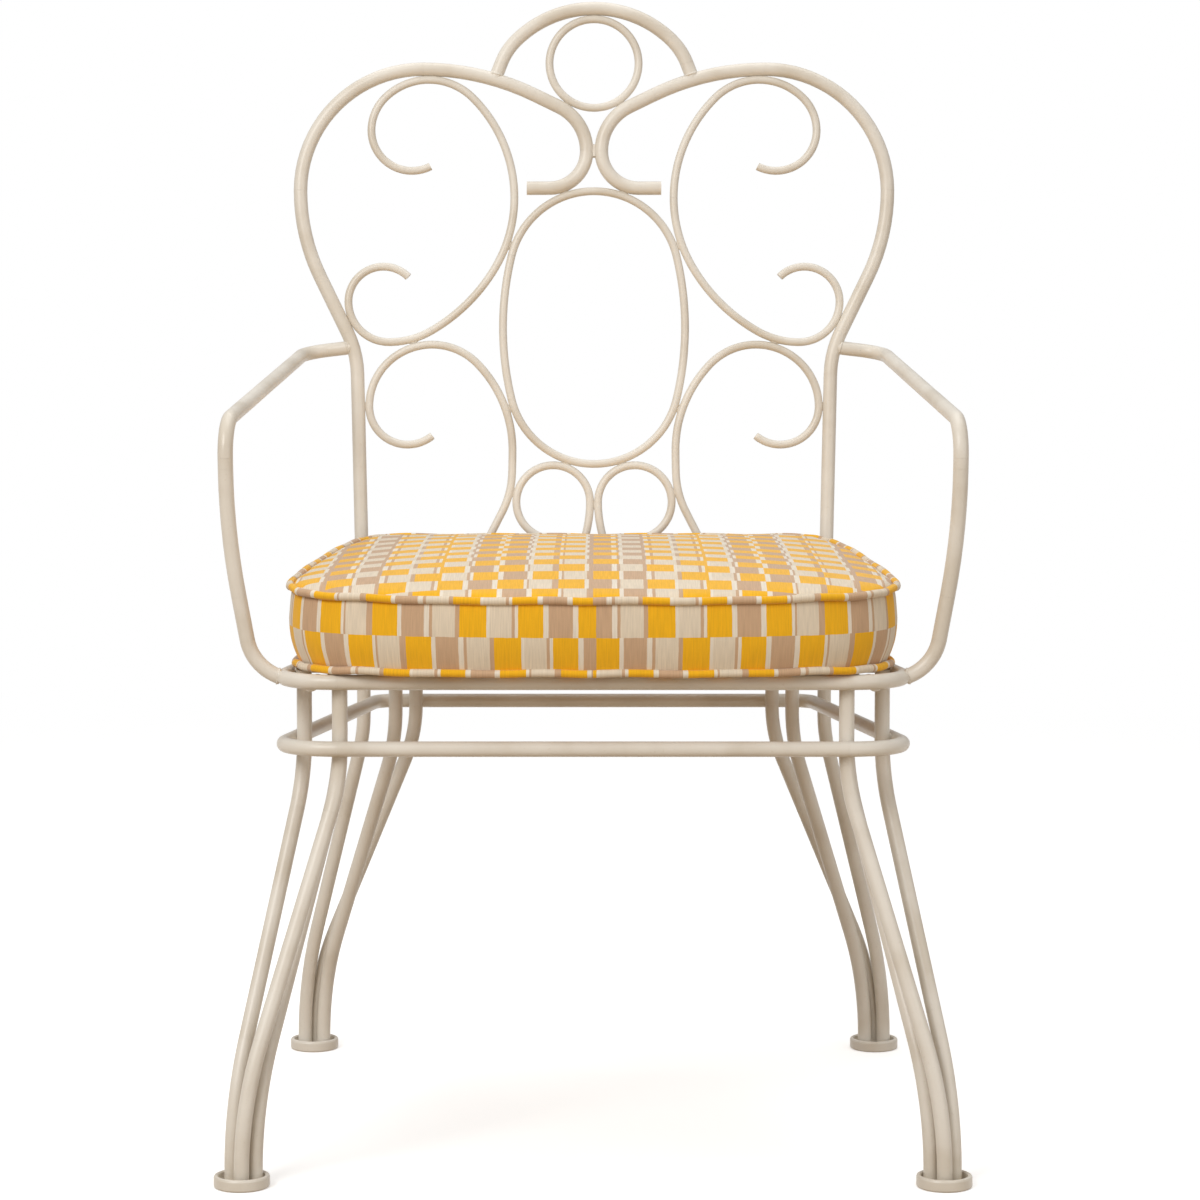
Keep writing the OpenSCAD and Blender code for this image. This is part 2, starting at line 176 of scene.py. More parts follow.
def edges_of(shape: bmesh.types.BMesh, ring: list[bmesh.types.BMVert]) -> list[bmesh.types.BMEdge]:
    """Finds the edges that run along a ring of vertices.

    Args:
        shape: the shape that holds the ring.
        ring: the ring's vertices.

    Returns:
        Its edges.
    """
    held = set(ring)
    return [edge for edge in shape.edges if edge.verts[0] in held and edge.verts[1] in held]


def bridge(shape: bmesh.types.BMesh, rings: list[list[bmesh.types.BMVert]], closed: bool) -> None:
    """Skins each ring of a tube to the next one.

    Args:
        shape: the shape that holds the rings.
        rings: the vertices of each ring.
        closed: whether the last ring is joined to the first.
    """
    loops = [edges_of(shape, ring) for ring in rings]
    for low, high in zip(loops, loops[1:] + loops[: int(closed)]):
        bmesh.ops.bridge_loops(shape, edges=low + high)


@dataclass(frozen=True)
class PowderCoat:
    """Polyester powder coat on steel rod: satin, cream, with a faint orange peel and a little chalking."""

    colour: str = "#DED6C9"
    chalk: str = "#E3DCD0"
    shade: str = "#D4CABA"
    speck: str = "#C2B298"
    roughness: float = 0.34
    peel_mm: float = 1.8
    peel_depth_mm: float = 0.2
    mottle_mm: float = 60.0
    speck_mm: float = 2.4
    # How much of its own colour a speck lays over the coat
    speck_share: float = 0.2

    def material(self) -> bpy.types.Material:
        """Builds the coat; the peel is drawn a little coarser than real so that it shows at all."""
        made, tree = new_tree("powder_coated_steel")
        place = add_node(tree, "ShaderNodeTexCoord").outputs["Object"]
        mottle = add_node(
            tree, "ShaderNodeTexNoise", Vector=place, Scale=1 / (self.mottle_mm * MM), Detail=3.0
        )
        # Broad, soft patches from a greyer shade over the coat's own cream to chalked
        tone = add_node(tree, "ShaderNodeValToRGB", Fac=mottle.outputs["Fac"])
        low, high = tone.color_ramp.elements
        low.position, high.position = 0.36, 0.66
        low.color, high.color = linear(self.shade), linear(self.chalk)
        tone.color_ramp.elements.new(0.5).color = linear(self.colour)
        # Sparse grains of dust and small nicks, a few millimetres apart
        grain = add_node(
            tree, "ShaderNodeTexNoise", Vector=place, Scale=1 / (self.speck_mm * MM), Detail=2.0
        )
        nick = add_node(
            tree,
            "ShaderNodeMapRange",
            Value=grain.outputs["Fac"],
            From_Min=0.66,
            From_Max=0.74,
            To_Min=0.0,
            To_Max=self.speck_share,
        )
        dusty = add_node(
            tree,
            "ShaderNodeMixRGB",
            Fac=nick.outputs["Result"],
            Color1=tone.outputs["Color"],
            Color2=linear(self.speck),
        )
        rough = add_node(
            tree,
            "ShaderNodeMapRange",
            Value=mottle.outputs["Fac"],
            From_Min=0.3,
            From_Max=0.7,
            To_Min=self.roughness - 0.04,
            To_Max=self.roughness + 0.08,
        )
        peel = add_node(tree, "ShaderNodeTexNoise", Vector=place, Scale=1 / (self.peel_mm * MM), Detail=1.0)
        bump = add_node(
            tree,
            "ShaderNodeBump",
            Strength=0.06,
            Distance=self.peel_depth_mm * MM,
            Height=peel.outputs["Fac"],
        )
        shader = add_node(
            tree,
            "ShaderNodeBsdfPrincipled",
            Base_Color=dusty.outputs["Color"],
            Roughness=rough.outputs["Result"],
            Normal=bump.outputs["Normal"],
            IOR=1.5,
        )
        add_node(tree, "ShaderNodeOutputMaterial", Surface=shader.outputs["BSDF"])
        return made


@dataclass(frozen=True)
class CheckedCanvas:
    """Woven outdoor canvas: matte, slubbed yarn of three colours in staggered blocks, with a faint sheen.

    It is drawn on the piece's own UV map, in metres.
    """

    yellow: str = "#EDB004"
    tan: str = "#C5A280"
    cream: str = "#DDCDB5"
    pale: str = "#E4D8C5"
    row_mm: float = 22.5
    # How far every second row is shifted, as a share of the repeat
    stagger: float = 0.1292
    # How far a yarn wanders off its line, and over what length
    wander_mm: float = 0.5
    wander_over_mm: float = 6.25
    # Drawn at 0.9 mm where the real thread is about 0.5 mm, so that it shows
    thread_mm: float = 0.9
    thread_depth_mm: float = 0.25
    # Width of a slub over its length
    slub_share: float = 0.055
    patch_mm: float = 71.43
    # Widths of the blocks across one repeat, in mm, with the yarn colour of each
    blocks: tuple[tuple[float, str], ...] = (
        (20, "yellow"),
        (3, "pale"),
        (18, "tan"),
        (4, "pale"),
        (2, "tan"),
        (18, "cream"),
        (3, "tan"),
        (21, "yellow"),
        (3, "pale"),
        (17, "cream"),
        (2, "tan"),
        (3, "pale"),
        (19, "yellow"),
        (4, "pale"),
        (19, "tan"),
        (4, "pale"),
        (20, "yellow"),
        (2, "pale"),
        (2, "tan"),
        (18, "cream"),
        (5, "tan"),
    )

    def material(self) -> bpy.types.Material:
        """Builds the cloth: its check, then streaks and fading over it, then the weave's bump."""
        made, tree = new_tree("woven_acrylic_canvas")
        uv = add_node(tree, "ShaderNodeUVMap", {"uv_map": "cloth"}).outputs["UV"]
        shader = add_node(
            tree,
            "ShaderNodeBsdfPrincipled",
            Base_Color=self.worn(tree, uv, self.check(tree, uv)),
            Roughness=0.86,
            Normal=self.weave(tree, uv),
            IOR=1.46,
            Sheen_Weight=0.18,
            Sheen_Roughness=0.5,
        )
        add_node(tree, "ShaderNodeOutputMaterial", Surface=shader.outputs["BSDF"])
        return made

    def check(self, tree: bpy.types.NodeTree, uv: bpy.types.NodeSocket) -> bpy.types.NodeSocket:
        """Draws the rows of blocks.

        Args:
            tree: the cloth's node tree.
            uv: the piece's UV map.

        Returns:
            The blocks' colour.
        """
        # Yarns wander a little, so the blocks' edges aren't ruled
        wander = add_node(
            tree, "ShaderNodeTexNoise", Vector=uv, Scale=1 / (self.wander_over_mm * MM), Detail=1.0
        )
        offset = add_node(
            tree,
            "ShaderNodeVectorMath",
            {"operation": "SUBTRACT"},
            in0=wander.outputs["Color"],
            in1=(0.5, 0.5, 0.5),
        )
        drift = add_node(
            tree,
            "ShaderNodeVectorMath",
            {"operation": "SCALE"},
            in0=offset.outputs[0],
            Scale=self.wander_mm * MM,
        )
        moved = add_node(tree, "ShaderNodeVectorMath", {"operation": "ADD"}, in0=uv, in1=drift.outputs[0])
        across = add_node(tree, "ShaderNodeSeparateXYZ", Vector=moved.outputs[0])
        # Every second row is shifted along by the stagger
        row = add_node(
            tree, "ShaderNodeMath", {"operation": "DIVIDE"}, in0=across.outputs["Y"], in1=self.row_mm * MM
        )
        number = add_node(tree, "ShaderNodeMath", {"operation": "FLOOR"}, in0=row.outputs[0])
        odd = add_node(
            tree, "ShaderNodeMath", {"operation": "FLOORED_MODULO"}, in0=number.outputs[0], in1=2.0
        )
        shift = add_node(
            tree, "ShaderNodeMath", {"operation": "MULTIPLY"}, in0=odd.outputs[0], in1=self.stagger
        )
        total = sum(width for width, _ in self.blocks)
        column = add_node(
            tree, "ShaderNodeMath", {"operation": "DIVIDE"}, in0=across.outputs["X"], in1=total * MM
        )
        along = add_node(
            tree, "ShaderNodeMath", {"operation": "ADD"}, in0=column.outputs[0], in1=shift.outputs[0]
        )
        part = add_node(tree, "ShaderNodeMath", {"operation": "FRACT"}, in0=along.outputs[0])
        blocks = add_node(tree, "ShaderNodeValToRGB", Fac=part.outputs[0])
        ramp = blocks.color_ramp
        ramp.interpolation = "CONSTANT"
        edge = 0.0
        for index, (width, yarn) in enumerate(self.blocks):
            stop = ramp.elements[0] if index == 0 else ramp.elements.new(edge / total)
            stop.color = linear(getattr(self, yarn))
            edge += width
        ramp.elements.remove(ramp.elements[len(self.blocks)])
        return blocks.outputs["Color"]

    def worn(
        self, tree: bpy.types.NodeTree, uv: bpy.types.NodeSocket, colour: bpy.types.NodeSocket
    ) -> bpy.types.NodeSocket:
        """Lays streaks of slub and patches of wear over the check.

        Args:
            tree: the cloth's node tree.
            uv: the piece's UV map.
            colour: the check's colour.

        Returns:
            The worn colour.
        """
        # Slub: long streaks along the warp, a thread or two wide
        stretch = add_node(
            tree, "ShaderNodeVectorMath", {"operation": "MULTIPLY"}, in0=uv, in1=(1.0, self.slub_share, 1.0)
        )
        slub = add_node(
            tree,
            "ShaderNodeTexNoise",
            Vector=stretch.outputs[0],
            Scale=1 / (self.thread_mm * MM),
            Detail=2.0,
        )
        # Soft soiling and sun fading in patches about the size of a hand
        place = add_node(tree, "ShaderNodeTexCoord").outputs["Object"]
        patch = add_node(
            tree, "ShaderNodeTexNoise", Vector=place, Scale=1 / (self.patch_mm * MM), Detail=3.0
        )
        for noise, darkest, lightest in ((slub, 0.9, 1.06), (patch, 0.965, 1.02)):
            share = add_node(
                tree,
                "ShaderNodeMapRange",
                Value=noise.outputs["Fac"],
                From_Min=0.3,
                From_Max=0.7,
                To_Min=darkest,
                To_Max=lightest,
            )
            colour = add_node(
                tree,
                "ShaderNodeVectorMath",
                {"operation": "SCALE"},
                in0=colour,
                Scale=share.outputs["Result"],
            ).outputs[0]
        return colour

    def weave(self, tree: bpy.types.NodeTree, uv: bpy.types.NodeSocket) -> bpy.types.NodeSocket:
        """Raises a plain weave as two crossed waves of thread.

        Args:
            tree: the cloth's node tree.
            uv: the piece's UV map.

        Returns:
            The bumped normal.
        """
        warp, weft = (
            add_node(
                tree,
                "ShaderNodeTexWave",
                {"bands_direction": way},
                Vector=uv,
                Scale=WAVE_BAND / (self.thread_mm * MM),
                Distortion=1.2,
                Detail=1.0,
            ).outputs["Fac"]
            for way in ("X", "Y")
        )
        threads = add_node(tree, "ShaderNodeMath", {"operation": "MAXIMUM"}, in0=warp, in1=weft)
        bump = add_node(
            tree,
            "ShaderNodeBump",
            Strength=0.25,
            Distance=self.thread_depth_mm * MM,
            Height=threads.outputs[0],
        )
        return bump.outputs["Normal"]


@dataclass(frozen=True)
class PaleFloor:
    """A plain, near-white studio sweep that keeps a faint shadow and fades to white further off."""

    colour: str = "#F4F3F1"
    # What the floor throws back on the object: a warm, dim room floor, so that the legs darken downward
    bounce: str = "#A8906F"
    # Light of its own near the object, for the camera and for reflections
    lift: float = 0.4
    near_m: float = 0.8
    far_m: float = 3.2

    def material(self) -> bpy.types.Material:
        """Builds the floor: matte, with a lift for the camera and for reflections only."""
        made, tree = new_tree("studio_paper")
        path = add_node(tree, "ShaderNodeLightPath")
        seen = add_node(
            tree,
            "ShaderNodeMath",
            {"operation": "MAXIMUM"},
            in0=path.outputs["Is Camera Ray"],
            in1=path.outputs["Is Glossy Ray"],
        ).outputs[0]
        place = add_node(tree, "ShaderNodeTexCoord").outputs["Object"]
        reach = add_node(tree, "ShaderNodeVectorMath", {"operation": "LENGTH"}, in0=place)
        fade = add_node(
            tree,
            "ShaderNodeMapRange",
            {"interpolation_type": "SMOOTHSTEP"},
            Value=reach.outputs["Value"],
            From_Min=self.near_m,
            From_Max=self.far_m,
            To_Min=0.0,
            To_Max=1.0,
        )
        lift = add_node(tree, "ShaderNodeMath", {"operation": "MULTIPLY"}, in0=seen, in1=self.lift)
        tone = add_node(
            tree,
            "ShaderNodeMixRGB",
            Fac=seen,
            Color1=linear(self.bounce),
            Color2=linear(self.colour),
        )
        paper = add_node(tree, "ShaderNodeBsdfDiffuse", Color=tone.outputs["Color"]).outputs[0]
        glow = add_node(tree, "ShaderNodeEmission", Color=(1, 1, 1, 1), Strength=lift.outputs[0])
        near = add_node(tree, "ShaderNodeAddShader", in0=paper, in1=glow.outputs[0])
        white = add_node(tree, "ShaderNodeEmission", Color=(1, 1, 1, 1), Strength=seen)
        far = add_node(tree, "ShaderNodeMixShader", Fac=seen, in1=paper, in2=white.outputs[0])
        both = add_node(
            tree,
            "ShaderNodeMixShader",
            Fac=fade.outputs["Result"],
            in1=near.outputs[0],
            in2=far.outputs[0],
        )
        add_node(tree, "ShaderNodeOutputMaterial", Surface=both.outputs[0])
        return made


@dataclass(frozen=True)
class SoftBox:
    """One square studio lamp: where it hangs and what it faces, in metres, its side and its watts."""

    name: str
    place: tuple[float, float, float]
    aim: tuple[float, float, float]
    size: float
    power: float

    def hang(self) -> None:
        """Adds the lamp to the scene."""
        data = bpy.data.lights.new(self.name, "AREA")
        data.shape = "SQUARE"
        data.size = self.size
        data.energy = self.power
        lamp = placed(self.name, data)
        lamp.location = self.place
        way = Vector(self.aim) - Vector(self.place)
        lamp.rotation_euler = way.to_track_quat("-Z", "Y").to_euler()


@dataclass
class Studio:
    """The photograph's viewpoint, a pale floor and soft, even light."""

    height: float = 0.680
    distance: float = 2.876
    sideways: float = 0.0053
    tilt_down: float = math.radians(4.996)
    lens_mm: float = 105.0
    sensor_mm: float = 36.0
    sees_to: float = 100.0
    floor_half: float = 30.0
    # Strength of the room's light on the object, and of the white that the camera sees behind it
    room: float = 0.48
    backdrop: float = 1.0
    boxes: tuple[SoftBox, ...] = (
        SoftBox("key_soft_box", (-1.6, -2.3, 2.2), (0.0, 0.0, 0.5), 1.6, 56.0),
        SoftBox("fill_soft_box", (2.0, -2.2, 0.9), (0.0, 0.0, 0.5), 2.0, 17.0),
        SoftBox("top_soft_box", (0.0, 0.5, 2.9), (0.0, 0.0, 0.4), 2.2, 26.0),
    )

    def camera(self) -> None:
        """Puts the camera where the photograph was fitted to be."""
        data = bpy.data.cameras.new("photo_view")
        data.lens = self.lens_mm
        data.sensor_width = self.sensor_mm
        data.dof.use_dof = False
        data.clip_end = self.sees_to
        camera = placed("photo_view", data)
        camera.location = (self.sideways, -self.distance, self.height)
        camera.rotation_euler = (math.pi / 2 - self.tilt_down, 0.0, 0.0)
        bpy.context.scene.camera = camera

    def floor(self, finish: bpy.types.Material) -> None:
        """Lays the floor.

        Args:
            finish: the floor's material.
        """
        shape = bmesh.new()
        bmesh.ops.create_grid(shape, x_segments=1, y_segments=1, size=self.floor_half)
        mesh = mesh_of("floor", shape)
        mesh.materials.append(finish)
        placed("floor", mesh)

    def light(self) -> None:
        """Lights the chair evenly, with a slightly stronger key from above on the left."""
        for box in self.boxes:
            box.hang()
        world = bpy.data.worlds.new("studio_room")
        bpy.context.scene.world = world
        world.use_nodes = True
        tree = world.node_tree
        tree.nodes.clear()
        path = add_node(tree, "ShaderNodeLightPath")
        seen = add_node(
            tree,
            "ShaderNodeMath",
            {"operation": "MAXIMUM"},
            in0=path.outputs["Is Camera Ray"],
            in1=path.outputs["Is Transmission Ray"],
        )
        room = add_node(tree, "ShaderNodeBackground", Color=(1, 1, 1, 1), Strength=self.room)
        backdrop = add_node(tree, "ShaderNodeBackground", Color=(1, 1, 1, 1), Strength=self.backdrop)
        mixed = add_node(
            tree,
            "ShaderNodeMixShader",
            Fac=seen.outputs[0],
            in1=room.outputs[0],
            in2=backdrop.outputs[0],
        )
        add_node(tree, "ShaderNodeOutputWorld", Surface=mixed.outputs[0])


@dataclass(frozen=True)
class Contact:
    """A place where two rods touch: its middle, three axes from longest to shortest spread, and its weld."""

    place: Vector
    axes: Matrix
    weld: Weld
    rod: float


@dataclass(frozen=True)
class BackScroll:
    """A thin rod bent in the leaning back's plane, in place of a plainer packed one, with its sizes in mm.

    Each bend is a radius and an angle in degrees, positive to the left; an angle of 0 is a straight length.
    """

    name: str
    stands_for: str
    start: tuple[float, float]
    heading: float
    bends: tuple[tuple[float, float], ...]
    # -1 on the chair's left, 1 on its right
    side: float
    rod: float = 3.5
    end_round: float = 0.6
    sides: int = 20
    # Longest and widest step along a bend
    step: float = 2.967
    step_degrees: float = 5.0
    lean: float = math.radians(7.0)
    plane_y: float = 195.0
    seat_z: float = 381.0

    def line(self) -> list[Vector]:
        """Walks along the bends.

        Returns:
            Points of the rod's middle in the back's plane: across, and up the lean from the seat frame.
        """
        spot, heading = Vector(self.start), math.radians(self.heading)
        points = [spot.copy()]
        for size, angle in self.bends:
            if angle == 0.0:
                spot = spot + size * Vector((math.cos(heading), math.sin(heading)))
                points.append(spot.copy())
                continue
            arc = size * math.radians(abs(angle))
            steps = max(3, round(arc / self.step), round(abs(angle) / self.step_degrees))
            part = math.radians(angle) / steps
            chord = 2 * size * math.sin(abs(part) / 2)
            for _ in range(steps):
                way = heading + part / 2
                spot = spot + chord * Vector((math.cos(way), math.sin(way)))
                heading += part
                points.append(spot.copy())
        return points

    def space(self, spot: Vector, out: float) -> Vector:
        """Takes a spot of the back's plane to the chair's frame.

        Args:
            spot: across and up the lean.
            out: how far off the plane to the back.

        Returns:
            The place in metres.
        """
        y = self.plane_y + spot.y * math.sin(self.lean) + out * math.cos(self.lean)
        z = self.seat_z + spot.y * math.cos(self.lean) - out * math.sin(self.lean)
        return Vector((self.side * spot.x, y, z)) * MM

    def bent(self, coat: bpy.types.Material) -> bpy.types.Object:
        """Makes the rod.

        Args:
            coat: its paint.

        Returns:
            The rod, with its cut ends slightly rounded off.
        """
        line = self.line()
        last = len(line) - 1
        ways = [(line[min(i + 1, last)] - line[max(i - 1, 0)]).normalized() for i in range(last + 1)]
        first_in, last_in = self.end_round * ways[0], self.end_round * ways[last]
        cuts = [(line[0], ways[0], self.rod - self.end_round), (line[0] + first_in, ways[0], self.rod)]
        cuts += [(line[i], ways[i], self.rod) for i in range(1, last)]
        cuts.append((line[last] - last_in, ways[last], self.rod))
        cuts.append((line[last], ways[last], self.rod - self.end_round))
        shape = bmesh.new()
        rings = []
        for spot, way, size in cuts:
            across = Vector((way.y, -way.x))
            is_end = size < self.rod
            ring = bmesh.ops.create_circle(shape, cap_ends=is_end, segments=self.sides, radius=size)["verts"]
            for vertex in ring:
                vertex.co = self.space(spot + vertex.co.x * across, vertex.co.y)
            rings.append(ring)
        bridge(shape, rings, closed=False)
        for face in shape.faces:
            face.smooth = len(face.verts) == 4
        bmesh.ops.recalc_face_normals(shape, faces=shape.faces)
        mesh = mesh_of(self.name, shape)
        mesh.materials.append(coat)
        piece = placed(self.name, mesh)
        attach(piece, "frame")
        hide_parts(self.stands_for)
        return piece


@dataclass
class RodFrame:
    """The welded frame: every packed rod and cup gets the coat, and its joints get small weld beads."""

    nodes: dict[str, bpy.types.Object]
    coat: bpy.types.Material
    # Half the thickness of a thick and of a thin rod, and the words in a thin rod's name
    thick_rod: float = 0.006
    thin_rod: float = 0.0035
    thin: tuple[str, ...] = ("oval", "scroll", "ring_left", "ring_right", "crown_ring", "slat")
    # Rods nearer than reach touch; sample is the distance between the points that are tried
    reach: float = 0.0014
    sample: float = 0.003
    most_samples: int = 140
    # Touching points within half of spread are one contact, if there are enough of them
    spread: float = 0.011
    least_points: int = 3
    # A collar's contact is at least this wide and at most this flat, as shares of the rod
    collar_wide: float = 0.55
    collar_flat: float = 0.4
    # Half length, half width and half thickness of a bead in the crease between two thick rods
    crease: tuple[float, float, float] = (0.0062, 0.0019, 0.0015)
    # The part of a bead's size that doesn't shrink with the rod
    crease_least: float = 0.35
    # How far a collar's bead stands out of the rod, and half its thickness
    collar_more: float = 0.0008
    collar_thick: float = 0.0022

    def points(self, node: bpy.types.Object) -> np.ndarray:
        """Samples a rod's surface along its mesh edges.

        Args:
            node: a packed rod.

        Returns:
            One row of three coordinates for each point.
        """
        mesh = node.data
        spots = np.empty(len(mesh.vertices) * 3)
        mesh.vertices.foreach_get("co", spots)
        spots = spots.reshape(-1, 3)
        ends = np.empty(len(mesh.edges) * 2, dtype=np.int64)
        mesh.edges.foreach_get("vertices", ends)
        a, b = spots[ends[0::2]], spots[ends[1::2]]
        pieces = np.ceil(np.linalg.norm(b - a, axis=1) / self.sample).astype(int)
        made = [spots]
        for count in range(2, 1 + min(int(pieces.max()), self.most_samples)):
            some = pieces == count
            if some.any():
                shares = np.arange(1, count)[:, None, None] / count
                made.append((a[some][None] * (1 - shares) + b[some][None] * shares).reshape(-1, 3))
        return np.vstack(made)

    def contacts(self) -> list[Contact]:
        """Finds where the rods touch each other.

        Returns:
            The contacts, in the order of the nodes' names.
        """
        names = sorted(name for name in self.nodes if name != "cushion")
        cloud = {name: self.points(self.nodes[name]) for name in names}
        found = []
        for i, first in enumerate(names):
            tree = BVHTree.FromPolygons(
                [v.co for v in self.nodes[first].data.vertices],
                [p.vertices for p in self.nodes[first].data.polygons],
            )
            low, high = cloud[first].min(axis=0) - self.reach, cloud[first].max(axis=0) + self.reach
            for second in names[i + 1 :]:
                spots = cloud[second]
                spots = spots[np.all((spots > low) & (spots < high), axis=1)]
                near = [p for p in spots if tree.find_nearest(Vector(p), self.reach)[0] is not None]
                rod = min(self.radius(first), self.radius(second))
                found += self.grouped(near, rod)
        return found

    def radius(self, name: str) -> float:
        """Gives half the thickness of a node's rod."""
        return self.thin_rod if any(word in name for word in self.thin) else self.thick_rod

    def grouped(self, near: list[np.ndarray], rod: float) -> list[Contact]:
        """Gathers the points of one pair of rods into places.

        Args:
            near: points of one rod that lie on or in the other.
            rod: half the thickness of the thinner rod.

        Returns:
            One contact for each place.
        """
        found = []
        left = near
        while left:
            group, frontier = [], [left[0]]
            left = left[1:]
            while frontier:
                spot = frontier.pop()
                group.append(spot)
                close = [p for p in left if np.linalg.norm(p - spot) < self.spread / 2]
                left = [p for p in left if np.linalg.norm(p - spot) >= self.spread / 2]
                frontier += close
            if len(group) < self.least_points:
                continue
            block = np.array(group)
            heart = block.mean(axis=0)
            sizes, axes = np.linalg.eigh(np.cov((block - heart).T))
            wide = math.sqrt(max(sizes[1], 0.0)) > self.collar_wide * rod
            flat = wide and math.sqrt(sizes[0]) < self.collar_flat * rod
            turn = Matrix([list(axes[:, 2]), list(axes[:, 1]), list(axes[:, 0])]).transposed()
            found.append(Contact(Vector(heart), turn.to_4x4(), Weld.COLLAR if flat else Weld.CREASE, rod))
        return found

    def beads(self) -> bpy.types.Object:
        """Lays a small bead of weld in each crease, and a collar where a rod's end meets another.

        Returns:
            All beads, as one piece.
        """
        shape = bmesh.new()
        for contact in self.contacts():
            if contact.weld is Weld.CREASE:
                share = self.crease_least + (1 - self.crease_least) * contact.rod / self.thick_rod
                half = (self.crease[0] * share, self.crease[1] * share, self.crease[2] * share)
            else:
                wide = contact.rod + self.collar_more
                half = (wide, wide, self.collar_thick)
            place = Matrix.Translation(contact.place) @ contact.axes @ Matrix.Diagonal((*half, 1.0))
            bmesh.ops.create_uvsphere(shape, u_segments=20, v_segments=10, radius=1.0, matrix=place)
        for face in shape.faces:
            face.smooth = True
        mesh = mesh_of("weld_beads", shape)
        mesh.materials.append(self.coat)
        piece = placed("weld_beads", mesh)
        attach(piece, "frame")
        LOG.info("weld beads have %d faces", len(mesh.polygons))
        return piece

    def dress(self) -> None:
        """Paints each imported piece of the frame."""
        for name, node in self.nodes.items():
            if name == "cushion":
                continue
            node.data.materials.clear()
            node.data.materials.append(self.coat)
            LOG.info("painted %s", name)

    def seat_bars(
        self, rise: float = 0.006, start: float = -0.125, end: float = -0.165, parts: int = 8
    ) -> None:
        """Bends each seat bar's front end up behind the front rail, where the photo shows no bar.

        Args:
            rise: how far the front end is raised, in metres.
            start: where the bend starts, along Y in metres.
            end: where it ends.
            parts: how many lengths the bend is cut into.
        """
        for word in ("left", "right"):
            packed = "seat_bar_" + word
            shape = bmesh.new()
            shape.from_mesh(self.nodes[packed].data)
            for cut in range(parts + 1):
                place = (0.0, start + (end - start) * cut / parts, 0.0)
                every = list(shape.verts) + list(shape.edges) + list(shape.faces)
                bmesh.ops.bisect_plane(shape, geom=every, plane_co=place, plane_no=(0.0, 1.0, 0.0))
            for vertex in shape.verts:
                share = max(0.0, min(1.0, (vertex.co.y - start) / (end - start)))
                vertex.co.z += rise * share * share * (3 - 2 * share)
            mesh = mesh_of("bent_seat_bar_" + word, shape)
            mesh.materials.append(self.coat)
            piece = placed(mesh.name, mesh)
            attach(piece, "frame")
            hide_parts(packed)
            self.nodes[packed] = piece
            LOG.info("bent %s", piece.name)

    def scrolls(self) -> None:
        """Bends the base scrolls and the lower scrolls as in the photo."""
        for word, side in (("left", -1.0), ("right", 1.0)):
            base = BackScroll(
                name="base_scroll_" + word,
                stands_for="base_ring_" + word,
                start=(40.5, -4.0),
                heading=110.0,
                bends=((88.7, 0.0), (110.0, -20.0), (32.5, -280.0)),
                side=side,
            )
            lower = BackScroll(
                name="side_scroll_" + word,
                stands_for="lower_scroll_" + word,
                start=(142.7, 175.7),
                heading=-40.0,
                # The curled head, the round shoulder, then the sweep out to the seat frame
                bends=(
                    (34.0, 130.0),
                    (54.0, 45.0),
                    (56.0, 91.0),
                    (110.0, 44.0),
                    (600.0, 2.0),
                    (80.0, 25.0),
                    (20.0, 0.0),
                    (60.0, -27.0),
                    (67.3, 0.0),
                ),
                side=side,
            )
            for scroll in (base, lower):
                self.nodes[scroll.stands_for] = scroll.bent(self.coat)
                LOG.info("bent %s", scroll.name)


@dataclass(frozen=True)
class Row:
    """One row round the cushion's body: drawn in from the plan and up from the base, in metres.

    The last three are the shares that it has of the band's height, of the crown and of the rise to the back.
    """

    drawn: float
    height: float = 0.0
    band: float = 0.0
    crown: float = 0.0
    rise: float = 0.0


